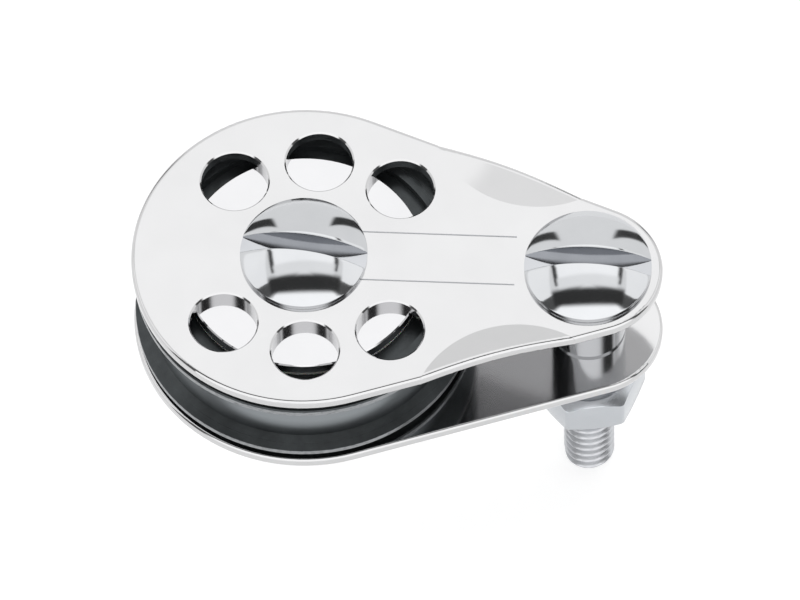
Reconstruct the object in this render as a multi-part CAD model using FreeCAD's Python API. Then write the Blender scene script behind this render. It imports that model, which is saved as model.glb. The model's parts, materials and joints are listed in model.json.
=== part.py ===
"""Single sheave block: two stamped side plates, a grooved sheave on a ball bearing,
a slotted axle screw with its barrel nut, and a through bolt with spacer and nut at the tail.

Frame: origin on the sheave axis, midway between the plates. +X runs to the tail bolt,
+Z to the slotted screw heads. Millimetres.
"""
import FreeCAD, Part
import math
import os

from FreeCAD import Rotation, Vector

# ---- driving dimensions ------------------------------------------------------------
AXIS_DISTANCE = 27.0        # sheave axis to tail bolt axis
HEAD_END_RADIUS = 16.4      # plate radius round the sheave
TAIL_END_RADIUS = 7.1       # plate radius round the tail bolt
PLATE_THICKNESS = 1.2
PLATE_GAP = 9.5             # clear width between the plates
PLATE_EDGE_ROUND = 0.45     # rolled edge on each plate's outer face
INNER_EDGE_ROUND = 0.35     # and on its inner face

LIGHTENING_HOLE_RADIUS = 3.2
HOLE_EDGE_BREAK = 0.15      # bevel round each hole on the plate's outer face
HOLE_GROUP_OFFSET = 0.8     # the hole group sits this far towards the tail
CORNER_HOLE_X = 7.9         # corner holes, measured from the group's centre
CORNER_HOLE_Y = 7.85
MIDDLE_HOLE_Y = 10.45

FLARE_CENTRE_X = 21.3       # a round conical die presses the upper plate's flanks
FLARE_CENTRE_Y = 16.6
FLARE_RADIUS = 10.05
FLARE_SLOPE = 0.28          # rise of the die's cone for each unit inwards
DIE_FACE_WIDTH = 5.5        # width of the cone, from its edge inwards

SHEAVE_RADIUS = 16.2
SHEAVE_HALF_WIDTH = 3.95
SHEAVE_BORE_RADIUS = 10.5
WEB_HALF_WIDTH = 3.0
RIM_INNER_RADIUS = 13.4
RIM_LAND = 0.65             # width of the flat band round each rim
RIM_CHAMFER = 0.15
GROOVE_CREASE_RADIUS = 14.8     # where the groove's flanks meet its round bottom
GROOVE_CREASE_HALF_WIDTH = 2.6
GROOVE_FLOOR_RADIUS = 12.7

BALL_RADIUS = 2.0
BALL_PITCH_RADIUS = 9.0
BALL_COUNT = 13
RACE_CLEARANCE = 0.04       # ball to race
RACE_OUTER_RADIUS = 7.5
RACE_BORE_RADIUS = 3.53
RACE_FLANGE_RADIUS = 11.6
RACE_FLANGE_THICKNESS = 1.2
RACE_FLANGE_BEVEL = 0.12
THRUST_RING_INNER_RADIUS = 10.6
THRUST_RING_OUTER_RADIUS = 11.5
THRUST_RING_CLEARANCE = 0.04

SHANK_RADIUS = 2.415        # 4.83 mm shank with 24 threads to the inch
THREAD_PITCH = 25.4 / 24
THREAD_DEPTH = 0.6134 * THREAD_PITCH
THREAD_CREST = 1 / 8        # crest flat and one flank, as shares of the pitch
THREAD_FLANK = 5 / 16
FIT_CLEARANCE = 0.045       # radial, shank in its holes

SCREW_HEAD_RADIUS = 6.05
SCREW_HEAD_RIM = 0.55
SCREW_HEAD_DOME = 1.95
SLOT_WIDTH = 1.8
SLOT_LENGTH = 13.0          # cutter's travel, right across the head
AXLE_SLOT_ANGLE = -5.3      # degrees from +X
TAIL_SLOT_ANGLE = 0.8

BARREL_RADIUS = 3.5
BARREL_BORE_RADIUS = 2.43
BARREL_BORE_DEPTH = 11.3
BARREL_HEAD_DOME = 1.2
AXLE_SHANK_LENGTH = 9.9

BOLT_LENGTH = 33.9          # under the head
BOLT_HEAD_GAP = 0.05        # running gap under the bolt head
BOLT_POINT_LENGTH = 0.7
SPACER_RADIUS = 3.55
SPACER_CHAMFER = 0.3
NUT_ACROSS_FLATS = 9.53
NUT_HEIGHT = 4.6
NUT_BOTTOM_Z = -16.2
NUT_TURN = 10.5             # degrees, how the nut happens to stand
NUT_FACE_SHARE = 0.88       # turned end face's radius over that of the flats
NUT_CORNER_SLOPE = math.tan(math.radians(30))

# ---- worked out from them -----------------------------------------------------------
INNER_FACE_Z = PLATE_GAP / 2
OUTER_FACE_Z = INNER_FACE_Z + PLATE_THICKNESS
SHANK_HOLE_RADIUS = SHANK_RADIUS + FIT_CLEARANCE
Z_AXIS = Vector(0, 0, 1)
TAIL = Vector(AXIS_DISTANCE, 0, 0)
TAPER = math.asin((HEAD_END_RADIUS - TAIL_END_RADIUS) / AXIS_DISTANCE)
FLANK_NORMAL = Vector(math.sin(TAPER), math.cos(TAPER), 0)
TALL = 20.0                 # height of a cutting tool that must pass right through
SAME_PLACE = 1e-4           # two points nearer than this count as one


def cylinder(radius, z_low, z_high, centre=Vector(0, 0, 0)):
    return Part.makeCylinder(radius, z_high - z_low, Vector(centre.x, centre.y, z_low))


def revolve(profile, centre=Vector(0, 0, 0)):
    """Turn a closed (radius, z) outline into a solid about the vertical axis at centre."""
    points = [Vector(centre.x + radius, centre.y, z) for radius, z in profile]
    face = Part.Face(Part.makePolygon(points + points[:1]))
    return face.revolve(centre, Z_AXIS, 360)


def mirror_down(shape):
    """The same piece on the lower side of the block."""
    return shape.mirror(Vector(0, 0, 0), Z_AXIS)


# ---- side plates ---------------------------------------------------------------------
def plate_outline_prism(z_low, z_high):
    """A big and a small round end, joined by their two common tangents."""
    base = Vector(0, 0, z_low)
    tail_base = base + TAIL
    mirrored = Vector(FLANK_NORMAL.x, -FLANK_NORMAL.y, 0)
    head_top = base + FLANK_NORMAL * HEAD_END_RADIUS
    head_low = base + mirrored * HEAD_END_RADIUS
    tail_top = tail_base + FLANK_NORMAL * TAIL_END_RADIUS
    tail_low = tail_base + mirrored * TAIL_END_RADIUS
    head_tip = base - Vector(HEAD_END_RADIUS, 0, 0)
    tail_tip = tail_base + Vector(TAIL_END_RADIUS, 0, 0)
    edges = [
        Part.Arc(head_top, head_tip, head_low).toShape(),
        Part.LineSegment(head_low, tail_low).toShape(),
        Part.Arc(tail_low, tail_tip, tail_top).toShape(),
        Part.LineSegment(tail_top, head_top).toShape(),
    ]
    return Part.Face(Part.Wire(edges)).extrude(Vector(0, 0, z_high - z_low))


def flare_centres():
    return [Vector(FLARE_CENTRE_X, side * FLARE_CENTRE_Y, 0) for side in (1, -1)]


def lightening_holes():
    """Cutting tools for the six holes, each wider where it meets the outer face."""
    places = [Vector(HOLE_GROUP_OFFSET, side * MIDDLE_HOLE_Y, 0) for side in (1, -1)]
    for along in (1, -1):
        for side in (1, -1):
            place = Vector(HOLE_GROUP_OFFSET + along * CORNER_HOLE_X, side * CORNER_HOLE_Y, 0)
            places.append(place)
    mouth_radius = LIGHTENING_HOLE_RADIUS + HOLE_EDGE_BREAK
    profile = [
        (0, 0),
        (LIGHTENING_HOLE_RADIUS, 0),
        (LIGHTENING_HOLE_RADIUS, OUTER_FACE_Z - HOLE_EDGE_BREAK),
        (mouth_radius, OUTER_FACE_Z),
        (mouth_radius, TALL),
        (0, TALL),
    ]
    return [revolve(profile, place) for place in places]


def outline_distance(point):
    """How far a point, seen from above, is from the plate's outline."""
    y = abs(point.y)
    from_head = math.hypot(point.x, y) - HEAD_END_RADIUS
    from_tail = math.hypot(point.x - AXIS_DISTANCE, y) - TAIL_END_RADIUS
    from_flank = point.x * FLANK_NORMAL.x + y * FLANK_NORMAL.y - HEAD_END_RADIUS
    return min(abs(from_head), abs(from_tail), abs(from_flank))


def round_outline(piece, split_z):
    """Roll over the edges of the outline: the inner face's below a height, the outer's above."""
    for radius, is_outer in ((INNER_EDGE_ROUND, False), (PLATE_EDGE_ROUND, True)):
        chosen = []
        for edge in piece.Edges:
            halfway = (edge.FirstParameter + edge.LastParameter) / 2
            middle = edge.valueAt(halfway)
            upright = abs(edge.tangentAt(halfway).z) > 0.9
            on_outline = outline_distance(middle) < SAME_PLACE
            if on_outline and not upright and (middle.z > split_z) == is_outer:
                chosen.append(edge)
        piece = piece.makeFillet(radius, chosen)
    return piece


def pressed_cone(centre):
    """The sheet as the die leaves it: a shallow cone, standing higher towards its middle."""
    inner_radius = FLARE_RADIUS - DIE_FACE_WIDTH
    lift = DIE_FACE_WIDTH * FLARE_SLOPE
    return revolve([
        (FLARE_RADIUS, INNER_FACE_Z),
        (FLARE_RADIUS, OUTER_FACE_Z),
        (inner_radius, OUTER_FACE_Z + lift),
        (inner_radius, INNER_FACE_Z + lift),
    ], centre)


def side_plate(axle_hole_radius, die_centres):
    """A plate in the upper place: flat sheet, its flanks pressed outwards by the dies."""
    flat = plate_outline_prism(INNER_FACE_Z, OUTER_FACE_Z)
    plate = round_outline(flat, OUTER_FACE_Z - SAME_PLACE)
    outline = plate_outline_prism(0, TALL)
    flanks = []
    for centre in die_centres:
        plate = plate.cut(cylinder(FLARE_RADIUS, 0, TALL, centre))
        flank = pressed_cone(centre).common(outline)
        flanks.append(round_outline(flank, OUTER_FACE_Z + PLATE_THICKNESS / 2))
    tools = lightening_holes()
    tools.append(cylinder(axle_hole_radius, 0, TALL))
    tools.append(cylinder(SHANK_HOLE_RADIUS, 0, TALL, TAIL))
    if flanks:
        plate = plate.fuse(flanks)
    return plate.cut(tools)


# ---- sheave and bearing ---------------------------------------------------------------
def race_groove():
    """The ring of space that the balls run in."""
    radius = BALL_RADIUS + RACE_CLEARANCE
    return Part.makeTorus(BALL_PITCH_RADIUS, radius)


def sheave():
    rim_z = SHEAVE_HALF_WIDTH
    mouth_z = rim_z - RIM_LAND
    upper_half = [
        (SHEAVE_BORE_RADIUS, WEB_HALF_WIDTH),
        (RIM_INNER_RADIUS, WEB_HALF_WIDTH),
        (RIM_INNER_RADIUS, rim_z),
        (SHEAVE_RADIUS - RIM_CHAMFER, rim_z),
        (SHEAVE_RADIUS, rim_z - RIM_CHAMFER),
        (SHEAVE_RADIUS, mouth_z),
        (GROOVE_CREASE_RADIUS, GROOVE_CREASE_HALF_WIDTH),
    ]
    lower_half = [(radius, -z) for radius, z in reversed(upper_half)]
    depth = GROOVE_CREASE_RADIUS - GROOVE_FLOOR_RADIUS
    bottom_radius = (GROOVE_CREASE_HALF_WIDTH ** 2 + depth ** 2) / (2 * depth)
    bottom = Part.makeTorus(GROOVE_FLOOR_RADIUS + bottom_radius, bottom_radius)
    return revolve(upper_half + lower_half).cut([bottom, race_groove()])


def inner_race():
    half = INNER_FACE_Z - RACE_FLANGE_THICKNESS
    ring = cylinder(RACE_OUTER_RADIUS, -half, half).cut(cylinder(RACE_BORE_RADIUS, -half, half))
    return ring.cut(race_groove())


def race_flange():
    """Polished disc that closes the bearing, against the upper plate's inner face."""
    low = INNER_FACE_Z - RACE_FLANGE_THICKNESS
    return revolve([
        (RACE_BORE_RADIUS, low),
        (RACE_FLANGE_RADIUS, low),
        (RACE_FLANGE_RADIUS, INNER_FACE_Z - RACE_FLANGE_BEVEL),
        (RACE_FLANGE_RADIUS - RACE_FLANGE_BEVEL, INNER_FACE_Z),
        (RACE_BORE_RADIUS, INNER_FACE_Z),
    ])


def thrust_ring():
    """Slippery ring on the flange that the sheave's web runs against."""
    low = WEB_HALF_WIDTH + THRUST_RING_CLEARANCE
    high = INNER_FACE_Z - RACE_FLANGE_THICKNESS
    ring = cylinder(THRUST_RING_OUTER_RADIUS, low, high)
    return ring.cut(cylinder(THRUST_RING_INNER_RADIUS, low, high))


def bearing_ball(index):
    angle = 2 * math.pi * index / BALL_COUNT
    centre = Vector(math.cos(angle), math.sin(angle), 0) * BALL_PITCH_RADIUS
    return Part.makeSphere(BALL_RADIUS, centre)


# ---- screws, bolt, spacer and nut -------------------------------------------------------
def domed_head(base_z, dome_height, slot_angle):
    """Low round head with a dome and a straight slot, standing on base_z, at the origin."""
    rim_z = base_z + SCREW_HEAD_RIM
    ball_radius = (SCREW_HEAD_RADIUS ** 2 + dome_height ** 2) / (2 * dome_height)
    ball = Part.makeSphere(ball_radius, Vector(0, 0, rim_z + dome_height - ball_radius))
    head = cylinder(SCREW_HEAD_RADIUS, base_z, rim_z + dome_height).common(ball)
    corner = Vector(-SLOT_LENGTH / 2, -SLOT_WIDTH / 2, rim_z)
    slot = Part.makeBox(SLOT_LENGTH, SLOT_WIDTH, TALL, corner)
    slot.rotate(Vector(0, 0, 0), Z_AXIS, slot_angle)
    return head.cut(slot)


def axle_screw():
    head = domed_head(OUTER_FACE_Z, SCREW_HEAD_DOME, AXLE_SLOT_ANGLE)
    return head.fuse(cylinder(SHANK_RADIUS, OUTER_FACE_Z - AXLE_SHANK_LENGTH, OUTER_FACE_Z))


def axle_barrel_nut():
    """Barrel through the race, with a head of its own outside the lower plate."""
    head = mirror_down(domed_head(OUTER_FACE_Z, BARREL_HEAD_DOME, AXLE_SLOT_ANGLE))
    barrel = head.fuse(cylinder(BARREL_RADIUS, -OUTER_FACE_Z, INNER_FACE_Z))
    return barrel.cut(cylinder(BARREL_BORE_RADIUS, INNER_FACE_Z - BARREL_BORE_DEPTH, INNER_FACE_Z))


def threaded_shank(top_z, thread_top_z, bottom_z):
    """Shank with the thread's ridges as rings at its pitch, and a bevelled point."""
    outline = [(0, top_z), (SHANK_RADIUS, top_z), (SHANK_RADIUS, thread_top_z)]
    root_radius = SHANK_RADIUS - THREAD_DEPTH
    thread_length = thread_top_z - bottom_z - BOLT_POINT_LENGTH
    ridge_count = int(thread_length / THREAD_PITCH)
    for ridge in range(ridge_count):
        start = thread_top_z - ridge * THREAD_PITCH
        outline.append((root_radius, start - THREAD_FLANK * THREAD_PITCH))
        outline.append((root_radius, start - (1 - THREAD_CREST - THREAD_FLANK) * THREAD_PITCH))
        outline.append((SHANK_RADIUS, start - (1 - THREAD_CREST) * THREAD_PITCH))
        outline.append((SHANK_RADIUS, start - THREAD_PITCH))
    outline.append((SHANK_RADIUS, bottom_z + BOLT_POINT_LENGTH))
    outline.append((SHANK_RADIUS - BOLT_POINT_LENGTH, bottom_z))
    outline.append((0, bottom_z))
    return revolve(outline)


def tail_bolt():
    seat_z = OUTER_FACE_Z + BOLT_HEAD_GAP
    head = domed_head(seat_z, SCREW_HEAD_DOME, TAIL_SLOT_ANGLE)
    shank = threaded_shank(seat_z, -OUTER_FACE_Z, seat_z - BOLT_LENGTH)
    bolt = head.fuse(shank)
    bolt.translate(TAIL)
    return bolt


def tail_spacer():
    return revolve([
        (SHANK_HOLE_RADIUS, -INNER_FACE_Z),
        (SPACER_RADIUS - SPACER_CHAMFER, -INNER_FACE_Z),
        (SPACER_RADIUS, -INNER_FACE_Z + SPACER_CHAMFER),
        (SPACER_RADIUS, INNER_FACE_Z - SPACER_CHAMFER),
        (SPACER_RADIUS - SPACER_CHAMFER, INNER_FACE_Z),
        (SHANK_HOLE_RADIUS, INNER_FACE_Z),
    ], TAIL)


def tail_nut():
    """Hexagon nut with both ends turned to cones at the corners."""
    flat_radius = NUT_ACROSS_FLATS / 2
    corner_radius = flat_radius / math.cos(math.radians(30))
    corners = []
    for corner in range(7):
        angle = math.radians(60 * corner + NUT_TURN)
        offset = Vector(math.cos(angle), math.sin(angle), 0) * corner_radius
        corners.append(TAIL + offset + Vector(0, 0, NUT_BOTTOM_Z))
    prism = Part.Face(Part.makePolygon(corners)).extrude(Vector(0, 0, NUT_HEIGHT))
    face_radius = NUT_FACE_SHARE * flat_radius
    cone_drop = (corner_radius - face_radius) * NUT_CORNER_SLOPE
    top_z = NUT_BOTTOM_Z + NUT_HEIGHT
    turned = revolve([
        (0, NUT_BOTTOM_Z),
        (face_radius, NUT_BOTTOM_Z),
        (corner_radius, NUT_BOTTOM_Z + cone_drop),
        (corner_radius, top_z - cone_drop),
        (face_radius, top_z),
        (0, top_z),
    ], TAIL)
    return prism.common(turned).cut(cylinder(SHANK_HOLE_RADIUS, NUT_BOTTOM_Z, top_z, TAIL))


# ---- the assembly -----------------------------------------------------------------------
def build_nodes():
    nodes = {
        "upper_side_plate": side_plate(SHANK_HOLE_RADIUS, flare_centres()),
        "lower_side_plate": mirror_down(side_plate(RACE_BORE_RADIUS, [])),
        "sheave": sheave(),
        "inner_race": inner_race(),
        "upper_race_flange": race_flange(),
        "lower_race_flange": mirror_down(race_flange()),
        "upper_thrust_ring": thrust_ring(),
        "lower_thrust_ring": mirror_down(thrust_ring()),
        "axle_screw": axle_screw(),
        "axle_barrel_nut": axle_barrel_nut(),
        "tail_bolt": tail_bolt(),
        "tail_spacer": tail_spacer(),
        "tail_nut": tail_nut(),
    }
    for index in range(BALL_COUNT):
        nodes["bearing_ball_%02d" % (index + 1)] = bearing_ball(index)
    return nodes


os.makedirs("parts", exist_ok=True)
for name, shape in build_nodes().items():
    solid = shape.removeSplitter()
    assert solid.isValid() and len(solid.Solids) == 1, name
    solid.Solids[0].exportStep("parts/%s.step" % name)
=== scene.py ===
"""Looks of the single sheave block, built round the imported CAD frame. Metres, CAD frame."""
import json
import math

import bmesh
import bpy
from mathutils import Matrix, Vector


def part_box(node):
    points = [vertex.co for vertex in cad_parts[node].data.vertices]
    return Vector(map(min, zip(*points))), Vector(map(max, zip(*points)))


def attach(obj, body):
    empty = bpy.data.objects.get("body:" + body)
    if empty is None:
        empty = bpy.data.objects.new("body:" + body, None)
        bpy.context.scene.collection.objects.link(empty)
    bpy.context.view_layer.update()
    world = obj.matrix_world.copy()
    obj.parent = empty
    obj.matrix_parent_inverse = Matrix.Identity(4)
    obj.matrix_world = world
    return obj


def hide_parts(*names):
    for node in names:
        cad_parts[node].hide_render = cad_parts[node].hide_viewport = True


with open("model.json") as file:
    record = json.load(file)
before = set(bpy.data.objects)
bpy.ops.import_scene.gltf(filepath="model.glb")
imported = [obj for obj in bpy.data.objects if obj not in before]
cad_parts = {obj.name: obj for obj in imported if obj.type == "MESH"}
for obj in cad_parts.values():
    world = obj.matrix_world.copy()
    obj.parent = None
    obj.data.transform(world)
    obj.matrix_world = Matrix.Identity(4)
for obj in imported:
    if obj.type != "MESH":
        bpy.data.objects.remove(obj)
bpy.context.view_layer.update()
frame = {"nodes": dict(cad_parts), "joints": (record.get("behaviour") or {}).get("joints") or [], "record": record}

MM = 0.001
NODES = frame["nodes"]


# ---- sizes read from the frame ---------------------------------------------------------
def joint_axis_x(name):
    for joint in frame["joints"]:
        if joint["name"] == name:
            return joint["pos_m"][0]
    raise KeyError(name)


TAIL_X = joint_axis_x("bolt_turn")
PLATE_INNER_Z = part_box("tail_spacer")[1].z
BOLT_END_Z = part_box("tail_bolt")[0].z

# ---- sizes of the screws and the nut: the CAD's, and finer ones of the mesh's own --------
HEAD_RADIUS = 6.05 * MM
HEAD_RIM = 0.55 * MM
HEAD_EDGE_ROUND = 0.08 * MM
SLOT_HALF_WIDTH = 0.9 * MM
SLOT_FLOOR = 0.38 * MM          # above the head's underside
AXLE_SLOT_TURN = -5.3           # degrees from +X
TAIL_SLOT_TURN = 0.8
SHANK_RADIUS = 2.415 * MM
PLAIN_SHANK_END = 0.1 * MM      # above the thread's top
THREAD_PITCH = 25.4 / 24 * MM
THREAD_DEPTH = 0.6134 * THREAD_PITCH
POINT_LENGTH = 0.7 * MM
THREAD_ROOT_SHARE = 0.16        # flat root, as a share of the pitch
THREAD_FLANKS_SHARE = 0.72      # both flanks; the rest is the crest
THREAD_RING_STEP = 0.07 * MM    # height between the mesh's rings
SCREW_DOME = 1.95 * MM
PLATE_OUTER_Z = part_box("axle_screw")[1].z - HEAD_RIM - SCREW_DOME
BARREL_DOME = 1.2 * MM
BARREL_RADIUS = 3.5 * MM
BARREL_BORE = 2.43 * MM
BARREL_BORE_DEPTH = 11.3 * MM
NUT_FLAT = 4.765 * MM           # axis to flat
NUT_CORNER = 5.42 * MM          # axis to the slightly rounded corner
NUT_FACE = 4.19 * MM            # radius of the turned end faces
NUT_BORE = 2.46 * MM
NUT_BORE_MOUTH = 2.80 * MM
NUT_MOUTH_SLOPE = 0.8           # depth of the bore's mouth over its width
NUT_CONE = math.radians(30)     # slope of the cone that cuts the corners
NUT_TURN = 10.5                 # degrees
NUT_EDGE_ROUND = 0.07 * MM
NUT_COLUMNS = 360               # of the mesh, round the nut


# ---- mesh helpers -----------------------------------------------------------------------
SMOOTH, CUT, ROLLED = range(3)  # a piece's materials: polished, its slot, its thread
SCREW_SHARP = 35                # degrees; edges steeper than this are shaded sharp
NUT_SHARP = 50
WELD_REACH = 1e-7
NO_LENGTH = 1e-8


def add_grid(bm, rows, closed=False, finish=SMOOTH):
    """Quads between rows of points; closed joins each row's end to its start."""
    made = [[bm.verts.new(point) for point in row] for row in rows]
    columns = len(rows[0])
    for upper, lower in zip(made, made[1:]):
        for i in range(columns if closed else columns - 1):
            k = (i + 1) % columns
            face = bm.faces.new((upper[i], upper[k], lower[k], lower[i]))
            face.material_index = finish


def finish_piece(bm, name, body, node, materials, sharp_degrees=SCREW_SHARP):
    """Weld the patches into one closed mesh and put it in the node's place."""
    bmesh.ops.remove_doubles(bm, verts=bm.verts, dist=WELD_REACH)
    bmesh.ops.dissolve_degenerate(bm, edges=bm.edges, dist=NO_LENGTH)
    bmesh.ops.recalc_face_normals(bm, faces=bm.faces)
    mesh = bpy.data.meshes.new(name)
    bm.to_mesh(mesh)
    bm.free()
    for polygon in mesh.polygons:
        polygon.use_smooth = True
    mesh.set_sharp_from_angle(angle=math.radians(sharp_degrees))
    for material in materials:
        mesh.materials.append(material)
    piece = bpy.data.objects.new(name, mesh)
    bpy.context.scene.collection.objects.link(piece)
    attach(piece, body)
    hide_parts(node)


# ---- slotted heads ----------------------------------------------------------------------
ISLAND_ROWS = 26
ISLAND_COLUMNS = 40
BEVEL_STEPS = 4
SLOT_FLOOR_ROWS = 4


def slotted_head(bm, dome):
    """Domed head with a slot along X, underside at z = 0; returns its loop of directions."""
    ball = (HEAD_RADIUS ** 2 + dome ** 2) / (2 * dome)
    edge = HEAD_EDGE_ROUND
    half = SLOT_HALF_WIDTH
    rim_slope = math.asin(HEAD_RADIUS / ball)

    def dome_z(radius):
        return HEAD_RIM + dome - ball + math.sqrt(ball ** 2 - radius ** 2)

    def slot_edge_drop(y):
        share = min((y - half) / edge, 1.0)
        return edge * (1 - math.sqrt(max(0.0, 1 - (1 - share) ** 2)))

    inner = HEAD_RADIUS - edge + edge * math.sin(rim_slope)
    round_z = dome_z(inner) - edge * math.cos(rim_slope)

    def quarter(radius):
        """(x, y) from the slot's edge round to the +Y point, at one radius."""
        places = []
        for step in range(BEVEL_STEPS + 1):
            turn = math.pi / 2 * step / BEVEL_STEPS
            y = half + edge * (1 - math.cos(turn))
            places.append((math.sqrt(radius ** 2 - y ** 2), y))
        start = math.asin((half + edge) / radius)
        for row in range(1, ISLAND_ROWS + 1):
            angle = start + (math.pi / 2 - start) * row / ISLAND_ROWS
            places.append((radius * math.cos(angle), radius * math.sin(angle)))
        places[-1] = (0.0, radius)      # exactly on the axis, where the halves meet
        return places

    def half_ring(radius, z):
        right = quarter(radius)
        both = right + [(-x, y) for x, y in reversed(right[:-1])]
        return [Vector((x, y, z - slot_edge_drop(y))) for x, y in both]

    rounding = []
    for step in range(BEVEL_STEPS + 1):
        turn = rim_slope + (math.pi / 2 - rim_slope) * step / BEVEL_STEPS
        radius = HEAD_RADIUS - edge + edge * math.sin(turn)
        rounding.append((radius, round_z + edge * math.cos(turn)))
    rings = [half_ring(radius, z) for radius, z in rounding]
    shares = [2 * i / ISLAND_COLUMNS - 1 for i in range(ISLAND_COLUMNS + 1)]
    island = []
    for x, y in quarter(inner):
        island.append([
            Vector((t * x, y, dome_z(math.hypot(t * x, y)) - slot_edge_drop(y)))
            for t in shares
        ])
    foot = [Vector((p.x, p.y, SLOT_FLOOR)) for p in rings[-1]]
    wall_top = [ring[-1] for ring in reversed(rings[1:])]
    wall_top += island[0]
    wall_top += [ring[0] for ring in rings[1:]]
    wall_foot = [Vector((p.x, p.y, SLOT_FLOOR)) for p in wall_top]
    for side in (1, -1):
        def flip(row):
            return [Vector((p.x, side * p.y, p.z)) for p in row]
        add_grid(bm, [flip(row) for row in island])
        add_grid(bm, [flip(row) for row in rings + [foot]])
        add_grid(bm, [flip(wall_top), flip(wall_foot)], finish=CUT)
    reach = math.sqrt(HEAD_RADIUS ** 2 - half ** 2)
    floor_rows = []
    for row in range(SLOT_FLOOR_ROWS + 1):
        y = half * (2 * row / SLOT_FLOOR_ROWS - 1)
        end = math.sqrt(HEAD_RADIUS ** 2 - y ** 2)
        floor_rows.append([Vector((p.x / reach * end, y, SLOT_FLOOR)) for p in wall_foot])
    add_grid(bm, floor_rows, finish=CUT)

    loop = [Vector((p.x, p.y, 0)) for p in foot]
    loop += [Vector((row[0].x, row[0].y, 0)) for row in reversed(floor_rows[1:-1])]
    loop += [Vector((-p.x, -p.y, 0)) for p in foot]
    loop += [Vector((row[-1].x, row[-1].y, 0)) for row in floor_rows[1:-1]]
    directions = [place / HEAD_RADIUS for place in loop]
    under = [(HEAD_RADIUS, SLOT_FLOOR), (HEAD_RADIUS, edge), (HEAD_RADIUS - edge, 0)]
    add_grid(bm, [ring_at(directions, radius, z) for radius, z in under], closed=True)
    return directions


def ring_at(directions, radius, z):
    return [Vector((d.x * radius, d.y * radius, z)) for d in directions]


def thread_radius(angle, z, top_z, bottom_z):
    """Radius of a right-hand thread; it runs out at the top and is pointed at the end."""
    phase = (z / THREAD_PITCH - angle / (2 * math.pi)) % 1.0
    height = min(1.0, max(0.0, (abs(2 * phase - 1) - THREAD_ROOT_SHARE) / THREAD_FLANKS_SHARE))
    # Half way to a smooth step, which rounds the crest's and the root's corners a little.
    height = (height + height * height * (3 - 2 * height)) / 2
    run_out = min(1.0, max(0.0, (top_z - z) / THREAD_PITCH))
    radius = SHANK_RADIUS - THREAD_DEPTH * (1 - height) * run_out
    return min(radius, SHANK_RADIUS - POINT_LENGTH + (z - bottom_z))


def tail_bolt(materials):
    bm = bmesh.new()
    directions = slotted_head(bm, SCREW_DOME)
    seat_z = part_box("tail_bolt")[1].z - HEAD_RIM - SCREW_DOME
    bottom = BOLT_END_Z - seat_z
    thread_top = -PLATE_OUTER_Z - seat_z
    plain = [(HEAD_RADIUS - HEAD_EDGE_ROUND, 0), (SHANK_RADIUS, 0),
             (SHANK_RADIUS, thread_top + PLAIN_SHANK_END)]
    rings = [ring_at(directions, radius, z) for radius, z in plain]
    add_grid(bm, rings, closed=True)
    steps = int((thread_top - bottom) / THREAD_RING_STEP)
    thread = [rings[-1]]
    for step in range(steps + 1):
        z = thread_top + (bottom - thread_top) * step / steps
        ring = []
        for d in directions:
            radius = thread_radius(math.atan2(d.y, d.x), z, thread_top, bottom)
            ring.append(Vector((d.x * radius, d.y * radius, z)))
        thread.append(ring)
    thread.append([Vector((0, 0, bottom))] * len(directions))
    add_grid(bm, thread, closed=True, finish=ROLLED)
    turn = Matrix.Rotation(math.radians(TAIL_SLOT_TURN), 4, "Z")
    bmesh.ops.transform(bm, matrix=Matrix.Translation((TAIL_X, 0, seat_z)) @ turn, verts=bm.verts)
    finish_piece(bm, "tail_bolt_threaded", "tail_bolt", "tail_bolt", materials)


def axle_screw(materials):
    bm = bmesh.new()
    directions = slotted_head(bm, SCREW_DOME)
    length = PLATE_OUTER_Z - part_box("axle_screw")[0].z
    profile = [(HEAD_RADIUS - HEAD_EDGE_ROUND, 0), (SHANK_RADIUS, 0), (SHANK_RADIUS, -length)]
    rings = [ring_at(directions, radius, z) for radius, z in profile]
    rings.append([Vector((0, 0, -length))] * len(directions))
    add_grid(bm, rings, closed=True)
    turn = Matrix.Rotation(math.radians(AXLE_SLOT_TURN), 4, "Z")
    bmesh.ops.transform(bm, matrix=Matrix.Translation((0, 0, PLATE_OUTER_Z)) @ turn, verts=bm.verts)
    finish_piece(bm, "axle_screw_slotted", "frame", "axle_screw", materials)


def axle_barrel_nut(materials):
    bm = bmesh.new()
    directions = slotted_head(bm, BARREL_DOME)
    length = PLATE_OUTER_Z + PLATE_INNER_Z
    profile = [
        (HEAD_RADIUS - HEAD_EDGE_ROUND, 0), (BARREL_RADIUS, 0), (BARREL_RADIUS, -length),
        (BARREL_BORE, -length), (BARREL_BORE, BARREL_BORE_DEPTH - length),
    ]
    rings = [ring_at(directions, radius, z) for radius, z in profile]
    rings.append([Vector((0, 0, BARREL_BORE_DEPTH - length))] * len(directions))
    add_grid(bm, rings, closed=True)
    turn = Matrix.Rotation(math.radians(AXLE_SLOT_TURN), 4, "Z")
    upside_down = Matrix.Diagonal((1, 1, -1, 1))
    place = Matrix.Translation((0, 0, -PLATE_OUTER_Z)) @ upside_down @ turn
    bmesh.ops.transform(bm, matrix=place, verts=bm.verts)
    finish_piece(bm, "axle_barrel_slotted", "frame", "axle_barrel_nut", materials)


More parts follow.
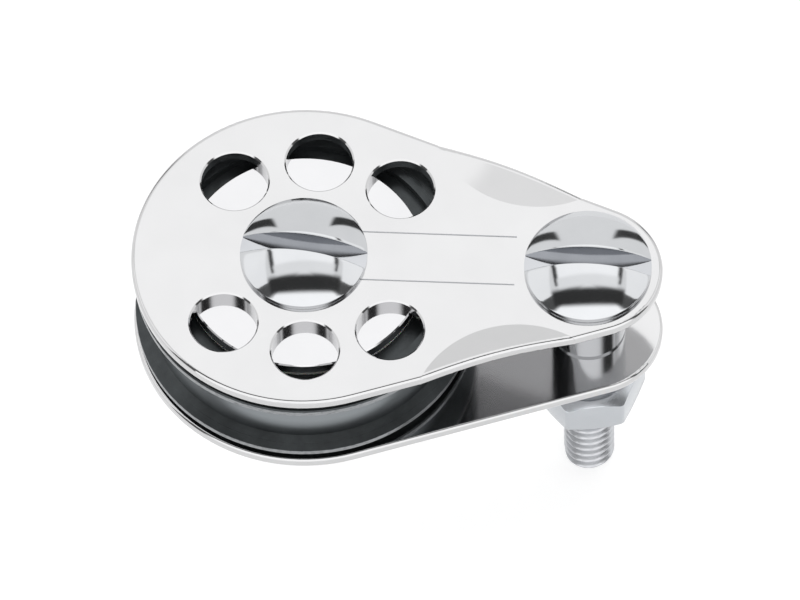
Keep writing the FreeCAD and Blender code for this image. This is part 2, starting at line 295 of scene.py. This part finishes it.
def tail_nut(materials):
    """Hexagon nut: turned end faces, corners cut by a cone, small rounded edges."""
    low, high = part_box("tail_nut")[0].z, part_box("tail_nut")[1].z
    middle, half = (low + high) / 2, (high - low) / 2
    slope = math.tan(NUT_CONE)
    mouth_depth = (NUT_BORE_MOUTH - NUT_BORE) * NUT_MOUTH_SLOPE
    edge = NUT_EDGE_ROUND

    def upper_half(angle):
        from_flat = (math.degrees(angle) - NUT_TURN) % 60 - 30
        outer = min(NUT_FLAT / math.cos(math.radians(from_flat)), NUT_CORNER)
        corner_z = half - (outer - NUT_FACE) * slope
        return [
            (NUT_BORE, half - mouth_depth),
            (NUT_BORE_MOUTH - edge, half - edge / 2),
            (NUT_BORE_MOUTH + edge, half),
            (NUT_FACE - edge, half),
            (NUT_FACE + edge, half - edge * slope),
            (outer - edge, corner_z + edge * slope),
            (outer - edge / 4, corner_z + edge / 6),
            (outer, corner_z - edge),
        ]

    loops = []
    for column in range(NUT_COLUMNS):
        angle = 2 * math.pi * column / NUT_COLUMNS
        above = upper_half(angle)
        around = above + [(radius, -z) for radius, z in reversed(above)]
        across = Vector((math.cos(angle), math.sin(angle), 0))
        centre = Vector((TAIL_X, 0, middle))
        loops.append([centre + across * radius + Vector((0, 0, z)) for radius, z in around])
    rows = [list(row) for row in zip(*loops)]
    bm = bmesh.new()
    add_grid(bm, rows + rows[:1], closed=True)
    finish_piece(bm, "tail_nut_hexagon", "tail_nut", "tail_nut", materials, NUT_SHARP)


# ---- materials --------------------------------------------------------------------------
# Millimetres from here to the materials' end.
# grey round the rims: coating rubbed through, and a painted highlight on the rims' edges
WORN_AND_HIGHLIGHT_FROM_RADIUS = 16.22        # from the sheave's axis, scuffs included
WORN_AND_HIGHLIGHT_FADE = 0.04
SCUFF_REACH = 0.12
# groove bottom lighter grey: rope polish, and a painted highlight for the groove's bright band
POLISH_AND_HIGHLIGHT_TO_RADIUS = 14.8
POLISH_AND_HIGHLIGHT_FADE = 1.2
GROOVE_HALF_WIDTH = 2.8
COAT_DARK = (0.036, 0.040, 0.042)
COAT_LIGHT = (0.054, 0.060, 0.063)
# colour of the groove bottom: rope polish, and a painted highlight
ROPE_POLISH_AND_HIGHLIGHT = (0.19, 0.205, 0.215, 1)
# colour round the rims: bare metal, and a painted highlight
WORN_METAL_AND_HIGHLIGHT = (0.26, 0.27, 0.28, 1)
LINES_CENTRE = (12.4, 0.35, 0.0)
LINES_HALF_LENGTH = 7.7
LINES_HALF_APART = 2.65
LINES_TURN = 0.8                # degrees
LINE_HALF_WIDTH = 0.06
LINE_EDGE = (0.6, 1.3)          # where a line's soft edge is, over its half width
LINE_DEPTH = 0.03
ENGRAVED_ABOVE_Z = 5.7          # only the plate's outer face is engraved
ENGRAVED_COLOUR = (0.36, 0.37, 0.39, 1)
ENGRAVED_ROUGHNESS = 0.45
SMEAR_SHARE = 0.6               # of a polished steel's gloss; the rest is its fine grain


class Nodes:
    """Short calls for building one material's nodes."""

    def __init__(self, name):
        self.material = bpy.data.materials.new(name)
        self.material.use_nodes = True
        self.tree = self.material.node_tree
        self.shader = self.tree.nodes["Principled BSDF"]

    def add(self, kind, **settings):
        node = self.tree.nodes.new(kind)
        for key, value in settings.items():
            setattr(node, key, value)
        return node

    def link(self, source, target):
        self.tree.links.new(source, target)

    def position(self):
        """Place on the object in millimetres."""
        coordinates = self.add("ShaderNodeTexCoord")
        scale = self.add("ShaderNodeVectorMath", operation="SCALE")
        scale.inputs["Scale"].default_value = 1000
        self.link(coordinates.outputs["Object"], scale.inputs[0])
        return scale.outputs[0]

    def stretched(self, place, factors):
        node = self.add("ShaderNodeVectorMath", operation="MULTIPLY")
        node.inputs[1].default_value = factors
        self.link(place, node.inputs[0])
        return node.outputs[0]

    def noise(self, place, scale, detail=3.0, rough=0.5):
        node = self.add("ShaderNodeTexNoise")
        node.inputs["Scale"].default_value = scale
        node.inputs["Detail"].default_value = detail
        node.inputs["Roughness"].default_value = rough
        self.link(place, node.inputs["Vector"])
        return node.outputs["Fac"]

    def ramp(self, value, low, high, low_at=0.3, high_at=0.7):
        """Map the range low_at to high_at onto low to high."""
        node = self.add("ShaderNodeMapRange", clamp=True)
        node.inputs["From Min"].default_value = low_at
        node.inputs["From Max"].default_value = high_at
        node.inputs["To Min"].default_value = low
        node.inputs["To Max"].default_value = high
        self.link(value, node.inputs["Value"])
        return node.outputs["Result"]

    def math(self, operation, first, second=None):
        node = self.add("ShaderNodeMath", operation=operation)
        for socket, value in zip(node.inputs, (first, second)):
            if value is None:
                continue
            if isinstance(value, (int, float)):
                socket.default_value = value
            else:
                self.link(value, socket)
        return node.outputs[0]

    def blend(self, share, colour_a, colour_b):
        node = self.add("ShaderNodeMix", data_type="RGBA")
        node.inputs[6].default_value = (*colour_a, 1)
        node.inputs[7].default_value = (*colour_b, 1)
        self.link(share, node.inputs[0])
        return node.outputs[2]

    def bump(self, height, distance_mm, after=None):
        node = self.add("ShaderNodeBump")
        node.inputs["Strength"].default_value = 1.0
        node.inputs["Distance"].default_value = distance_mm * MM
        self.link(height, node.inputs["Height"])
        if after is not None:
            self.link(after, node.inputs["Normal"])
        return node.outputs["Normal"]


def polished_steel(name, colour, dull, rough, grain=(1, 1, 1), wave_mm=0.0, grain_mm=0.0004):
    """Polished metal: fine grain, faint smears in gloss and colour."""
    n = Nodes(name)
    place = n.position()
    smear = n.noise(place, scale=0.16, detail=4.0, rough=0.6)
    fine = n.noise(n.stretched(place, grain), scale=9.0, detail=2.0, rough=0.6)
    n.link(n.blend(n.ramp(smear, 0, 1), dull, colour), n.shader.inputs["Base Color"])
    low, high = rough
    mixed = n.math("ADD", n.math("MULTIPLY", smear, SMEAR_SHARE),
                   n.math("MULTIPLY", fine, 1 - SMEAR_SHARE))
    n.link(n.ramp(mixed, low, high), n.shader.inputs["Roughness"])
    n.shader.inputs["Metallic"].default_value = 1.0
    normal = n.bump(fine, grain_mm)
    if wave_mm:
        normal = n.bump(n.noise(place, scale=0.07, detail=1.0), wave_mm, after=normal)
    n.link(normal, n.shader.inputs["Normal"])
    return n


def black_anodised():
    """Satin black coating with turning lines, rubbed through to grey metal round the two rims; that grey is also a
    painted highlight on the rims' edges.

    The rope's polish makes the bottom of the groove a lighter grey, which is also a painted highlight for the
    groove's bright band."""
    n = Nodes("black_anodised")
    place = n.position()
    parts = n.add("ShaderNodeSeparateXYZ")
    n.link(place, parts.inputs[0])
    square = n.math("ADD", n.math("MULTIPLY", parts.outputs[0], parts.outputs[0]),
                    n.math("MULTIPLY", parts.outputs[1], parts.outputs[1]))
    radius = n.math("SQRT", square)
    turned = n.add("ShaderNodeCombineXYZ")
    n.link(radius, turned.inputs[0])
    n.link(parts.outputs[2], turned.inputs[1])
    lines = n.noise(turned.outputs[0], scale=7.0, rough=0.7)
    mottle = n.noise(place, scale=0.5, detail=4.0, rough=0.6)
    scuffs = n.noise(n.stretched(place, (1, 1, 3)), scale=1.6, detail=5.0, rough=0.7)
    skin = n.blend(n.ramp(mottle, 0, 1), COAT_DARK, COAT_LIGHT)
    # painted highlight, together with the rope's polish: lighter grey at the groove's bottom
    polish_and_highlight_from = POLISH_AND_HIGHLIGHT_TO_RADIUS - POLISH_AND_HIGHLIGHT_FADE
    polish_and_highlight = n.ramp(radius, 1, 0, polish_and_highlight_from, POLISH_AND_HIGHLIGHT_TO_RADIUS)
    in_groove = n.math("LESS_THAN", n.math("ABSOLUTE", parts.outputs[2]), GROOVE_HALF_WIDTH)
    polish_and_highlight = n.math("MULTIPLY", polish_and_highlight, in_groove)
    scuffed = n.math("ADD", radius, n.math("MULTIPLY", scuffs, SCUFF_REACH))
    # painted highlight, together with real wear: grey metal round the rims
    worn_and_highlight = n.ramp(scuffed, 0, 1, WORN_AND_HIGHLIGHT_FROM_RADIUS, WORN_AND_HIGHLIGHT_FROM_RADIUS + WORN_AND_HIGHLIGHT_FADE)
    for share, colour in ((polish_and_highlight, ROPE_POLISH_AND_HIGHLIGHT), (worn_and_highlight, WORN_METAL_AND_HIGHLIGHT)):
        mix = n.add("ShaderNodeMix", data_type="RGBA")
        n.link(share, mix.inputs[0])
        n.link(skin, mix.inputs[6])
        mix.inputs[7].default_value = colour
        skin = mix.outputs[2]
    n.link(skin, n.shader.inputs["Base Color"])
    n.link(n.ramp(lines, 0.26, 0.36), n.shader.inputs["Roughness"])
    n.shader.inputs["Metallic"].default_value = 0.7
    n.link(n.bump(lines, 0.002), n.shader.inputs["Normal"])
    return n


def acetal(name, colour, dull):
    """Slightly translucent plastic with a fine matt skin."""
    n = Nodes(name)
    place = n.position()
    cloud = n.noise(place, scale=0.8, detail=4.0)
    fine = n.noise(place, scale=12.0)
    n.link(n.blend(n.ramp(cloud, 0, 1), dull, colour), n.shader.inputs["Base Color"])
    n.link(n.ramp(fine, 0.25, 0.4), n.shader.inputs["Roughness"])
    n.shader.inputs["Subsurface Weight"].default_value = 0.1
    n.shader.inputs["Subsurface Scale"].default_value = 0.4 * MM
    n.link(n.bump(fine, 0.001), n.shader.inputs["Normal"])
    return n


def engrave_lines(n):
    """Two parallel lines engraved on the plate between the two screw heads."""
    turn = n.add("ShaderNodeVectorRotate", rotation_type="Z_AXIS")
    turn.inputs["Center"].default_value = LINES_CENTRE
    turn.inputs["Angle"].default_value = math.radians(-LINES_TURN)
    n.link(n.position(), turn.inputs["Vector"])
    parts = n.add("ShaderNodeSeparateXYZ")
    n.link(turn.outputs[0], parts.inputs[0])
    along, across = [
        n.math("ABSOLUTE", n.math("SUBTRACT", parts.outputs[axis], LINES_CENTRE[axis]))
        for axis in range(2)
    ]
    away = n.math("ABSOLUTE", n.math("SUBTRACT", across, LINES_HALF_APART))
    line = n.ramp(away, 1, 0, *[LINE_HALF_WIDTH * share for share in LINE_EDGE])
    line = n.math("MULTIPLY", line, n.math("LESS_THAN", along, LINES_HALF_LENGTH))
    line = n.math("MULTIPLY", line, n.math("GREATER_THAN", parts.outputs[2], ENGRAVED_ABOVE_Z))
    for socket, value in (("Base Color", ENGRAVED_COLOUR), ("Roughness", ENGRAVED_ROUGHNESS)):
        before = n.shader.inputs[socket].links[0].from_socket
        kind = "RGBA" if socket == "Base Color" else "FLOAT"
        mix = n.add("ShaderNodeMix", data_type=kind)
        a, b, out = (6, 7, 2) if kind == "RGBA" else (2, 3, 0)
        n.link(line, mix.inputs[0])
        n.link(before, mix.inputs[a])
        mix.inputs[b].default_value = value
        n.link(mix.outputs[out], n.shader.inputs[socket])
    before = n.shader.inputs["Normal"].links[0].from_socket
    cut = n.bump(n.math("MULTIPLY", line, -1.0), LINE_DEPTH, after=before)
    n.link(cut, n.shader.inputs["Normal"])


def plate_steel(name):
    return polished_steel(name, (0.58, 0.58, 0.585), (0.555, 0.555, 0.56), (0.06, 0.12), wave_mm=0.003)


PLATE = plate_steel("plate_steel")
MARKED_PLATE = plate_steel("plate_steel_engraved")
MIRROR = polished_steel("mirror_steel", (0.615, 0.615, 0.625), (0.59, 0.59, 0.60), (0.05, 0.11))
FASTENER = polished_steel("fastener_steel", (0.58, 0.59, 0.605), (0.54, 0.55, 0.565), (0.05, 0.11))
NUT = polished_steel(
    "nut_steel", (0.53, 0.55, 0.575), (0.475, 0.495, 0.52), (0.18, 0.30), (1, 1, 6), grain_mm=0.001)
THREAD = polished_steel(
    "thread_steel", (0.54, 0.55, 0.57), (0.48, 0.49, 0.51), (0.26, 0.36), (1, 1, 6), grain_mm=0.001)
SLOT_CUT = polished_steel(
    "slot_cut_steel", (0.49, 0.50, 0.52), (0.42, 0.43, 0.45), (0.06, 0.12), (1, 6, 6))
RACE = polished_steel("race_steel", (0.53, 0.54, 0.56), (0.46, 0.47, 0.49), (0.15, 0.3), (1, 1, 8))
ANODISED = black_anodised()
BALL = acetal("ball_acetal", (0.86, 0.86, 0.83), (0.80, 0.80, 0.76))
WHITE = acetal("white_acetal", (0.80, 0.80, 0.76), (0.72, 0.72, 0.67))

SLOT_MATERIALS = {
    "plate_steel": PLATE, "mirror_steel": MIRROR, "fastener_steel": FASTENER,
    "nut_steel": NUT, "race_steel": RACE, "black_anodised": ANODISED,
    "ball_acetal": BALL, "white_acetal": WHITE,
}
for part in frame["record"]["subparts"]:
    node = NODES[part["node"]]
    node.data.materials.clear()
    node.data.materials.append(SLOT_MATERIALS[part["material_slot"]].material)

engrave_lines(MARKED_PLATE)
NODES["upper_side_plate"].data.materials[0] = MARKED_PLATE.material

SCREW_MATERIALS = (FASTENER.material, SLOT_CUT.material, THREAD.material)
tail_bolt(SCREW_MATERIALS)
axle_screw(SCREW_MATERIALS)
axle_barrel_nut(SCREW_MATERIALS)
tail_nut((NUT.material,))


# ---- stage, light, camera ---------------------------------------------------------------
FLOOR_SIDE = 12.0
FLOOR_TONES = ((0.55, 0.55, 0.55), (0.58, 0.58, 0.58))
FLOOR_GLOW = 0.55               # keeps the floor near white
CAMERA_AZIMUTH = math.radians(4.9)
CAMERA_ELEVATION = math.radians(58.8)
CAMERA_ROLL = math.radians(1.5)
CAMERA_DISTANCE = 1.6           # metres
CAMERA_LENS = 756.5             # millimetres, on a 36 mm sensor
AIM_RIGHT = 9.015 * MM          # from the origin to the aim, as the camera sees it
AIM_UP = -1.43 * MM
SOFT = 0.03                     # half the width of a panel's soft edge
LOWEST = 0.06                   # the front panels stop a little above the horizon
SHALLOW = 0.02                  # least height or depth that a tangent is taken over
REAR_GAP_SLANT = 1.35
TOP_WIDENING = 0.16             # the top light is wider towards its back

# Brightness of the studio's lights and of the gaps between them.
AMBIENT = 1.1                   # where there is no panel
SIDE_LIGHT = 1.36
FRONT_LIGHT = 1.60
TOP_LIGHT = 1.50
TOP_LIGHT_EDGE = 1.25
FRONT_GAP = 0.12
REAR_GAP = 0.06
OVERHEAD_GAP = 0.05
TOP_FRAME = 0.07


def floor_material():
    n = Nodes("floor")
    grain = n.noise(n.position(), scale=0.02)
    n.link(n.blend(n.ramp(grain, 0, 1), *FLOOR_TONES), n.shader.inputs["Base Color"])
    n.shader.inputs["Roughness"].default_value = 0.9
    n.shader.inputs["Specular IOR Level"].default_value = 0.0
    n.shader.inputs["Emission Color"].default_value = (1, 1, 1, 1)
    n.shader.inputs["Emission Strength"].default_value = FLOOR_GLOW
    return n.material


def lay_floor():
    """A plain floor at the height of the bolt's end."""
    bm = bmesh.new()
    bmesh.ops.create_grid(bm, x_segments=1, y_segments=1, size=0.5)
    mesh = bpy.data.meshes.new("floor")
    bm.to_mesh(mesh)
    bm.free()
    mesh.materials.append(floor_material())
    floor = bpy.data.objects.new("floor", mesh)
    bpy.context.scene.collection.objects.link(floor)
    scale = Matrix.Diagonal((FLOOR_SIDE, FLOOR_SIDE, 1, 1))
    floor.matrix_world = Matrix.Translation((0, 0, BOLT_END_Z)) @ scale


class Studio:
    """Light panels and dark gaps round the object, painted on the world by direction.

    The directions' +Y points away from the camera. Panels are given by the tangents across
    and along (towards +Y) of their angle from straight up, by height (the direction's z), by
    sideways (its x, either side), by back (its y), and by aside, the tangent of their bearing
    off the Y axis."""

    def __init__(self):
        world = bpy.data.worlds.new("studio")
        world.use_nodes = True
        bpy.context.scene.world = world
        self.tree = world.node_tree
        direction = self.tree.nodes.new("ShaderNodeTexCoord").outputs["Generated"]
        turn = self.tree.nodes.new("ShaderNodeVectorRotate")
        turn.rotation_type = "Z_AXIS"
        turn.inputs["Angle"].default_value = -CAMERA_AZIMUTH
        self.tree.links.new(direction, turn.inputs["Vector"])
        parts = self.tree.nodes.new("ShaderNodeSeparateXYZ")
        self.tree.links.new(turn.outputs[0], parts.inputs[0])
        x, y, z = parts.outputs
        steep = self.math("MAXIMUM", z, SHALLOW)
        self.height = z
        self.back = y
        self.across = self.math("ABSOLUTE", self.math("DIVIDE", x, steep))
        self.along = self.math("DIVIDE", y, steep)
        self.sideways = self.math("ABSOLUTE", x)
        depth = self.math("MAXIMUM", self.math("ABSOLUTE", y), SHALLOW)
        self.aside = self.math("DIVIDE", self.sideways, depth)
        self.level = AMBIENT

    def math(self, operation, first, second=0.0):
        node = self.tree.nodes.new("ShaderNodeMath")
        node.operation = operation
        for socket, value in zip(node.inputs, (first, second)):
            if isinstance(value, (int, float)):
                socket.default_value = value
            else:
                self.tree.links.new(value, socket)
        return node.outputs[0]

    def step(self, value, at, rising=True, soft=SOFT):
        node = self.tree.nodes.new("ShaderNodeMapRange")
        node.interpolation_type = "SMOOTHSTEP"
        node.inputs["From Min"].default_value = at - soft
        node.inputs["From Max"].default_value = at + soft
        node.inputs["To Min"].default_value = 0.0 if rising else 1.0
        node.inputs["To Max"].default_value = 1.0 if rising else 0.0
        self.tree.links.new(value, node.inputs["Value"])
        return node.outputs["Result"]

    def panel(self, brightness, limits, soft=SOFT):
        """Paint a panel over what is there; limits are (value, lowest or None, highest or None)."""
        mask = None
        for value, lowest, highest in limits:
            sides = []
            if lowest is not None:
                sides.append(self.step(value, lowest, soft=soft))
            if highest is not None:
                sides.append(self.step(value, highest, rising=False, soft=soft))
            for side in sides:
                mask = side if mask is None else self.math("MULTIPLY", mask, side)
        mix = self.tree.nodes.new("ShaderNodeMix")
        mix.data_type = "FLOAT"
        self.tree.links.new(mask, mix.inputs[0])
        mix.inputs[3].default_value = brightness
        if isinstance(self.level, float):
            mix.inputs[2].default_value = self.level
        else:
            self.tree.links.new(self.level, mix.inputs[2])
        self.level = mix.outputs[0]

    def finish(self):
        background = self.tree.nodes["Background"]
        background.inputs["Color"].default_value = (1, 1, 1, 1)
        self.tree.links.new(self.level, background.inputs["Strength"])


def light_studio():
    studio = Studio()
    front = (studio.back, None, -SHALLOW)
    rear = (studio.back, SHALLOW, None)
    slant = studio.math("ADD", studio.height,
                        studio.math("MULTIPLY", studio.sideways, REAR_GAP_SLANT))
    top_across = studio.math("SUBTRACT", studio.across,
                             studio.math("MULTIPLY", studio.along, TOP_WIDENING))

    # side lights, and over them the plain wall behind the object
    studio.panel(SIDE_LIGHT, [(studio.across, 0.82, None), (studio.height, 0.38, None)])
    studio.panel(AMBIENT, [(studio.back, 0.5, None), (studio.height, 0.08, 0.62)], soft=0.05)
    # gaps either side of the front light, then the front light
    studio.panel(FRONT_GAP, [front, (studio.aside, 1.5, 4.5), (studio.height, LOWEST, 0.93)], soft=0.2)
    studio.panel(FRONT_LIGHT, [front, (studio.aside, None, 1.35), (studio.height, LOWEST, None)],
                 soft=0.08)
    # slanting gaps at the back, which show above the slots
    studio.panel(REAR_GAP, [rear, (slant, 0.72, 0.98), (studio.sideways, 0.35, None)])
    # the gap between the front and top lights
    studio.panel(OVERHEAD_GAP, [(studio.across, None, 0.80), (studio.along, -0.46, -0.09)], soft=0.07)
    # the top light's frame, the top light and its dimmer front edge
    studio.panel(TOP_FRAME, [(top_across, 0.53, 0.67), (studio.along, 0.0, 0.85)])
    studio.panel(TOP_LIGHT, [(top_across, None, 0.56), (studio.along, 0.10, 0.80)], soft=0.04)
    studio.panel(TOP_LIGHT_EDGE, [(top_across, None, 0.60), (studio.along, -0.07, 0.16)], soft=0.05)
    studio.finish()


def place_camera():
    sin_az, cos_az = math.sin(CAMERA_AZIMUTH), math.cos(CAMERA_AZIMUTH)
    sin_el, cos_el = math.sin(CAMERA_ELEVATION), math.cos(CAMERA_ELEVATION)
    right = Vector((cos_az, sin_az, 0))
    up = Vector((-sin_az * sin_el, cos_az * sin_el, cos_el))
    back = right.cross(up)
    rolled_right = right * math.cos(CAMERA_ROLL) - up * math.sin(CAMERA_ROLL)
    rolled_up = right * math.sin(CAMERA_ROLL) + up * math.cos(CAMERA_ROLL)
    data = bpy.data.cameras.new("camera")
    data.lens = CAMERA_LENS
    data.sensor_width = 36
    data.clip_start = 0.05
    data.clip_end = 20
    camera = bpy.data.objects.new("camera", data)
    bpy.context.scene.collection.objects.link(camera)
    turn = Matrix((rolled_right, rolled_up, back)).transposed().to_4x4()
    place = right * AIM_RIGHT + up * AIM_UP + back * CAMERA_DISTANCE
    camera.matrix_world = Matrix.Translation(place) @ turn
    bpy.context.scene.camera = camera


lay_floor()
light_studio()
place_camera()
bpy.context.scene.view_settings.view_transform = "Standard"
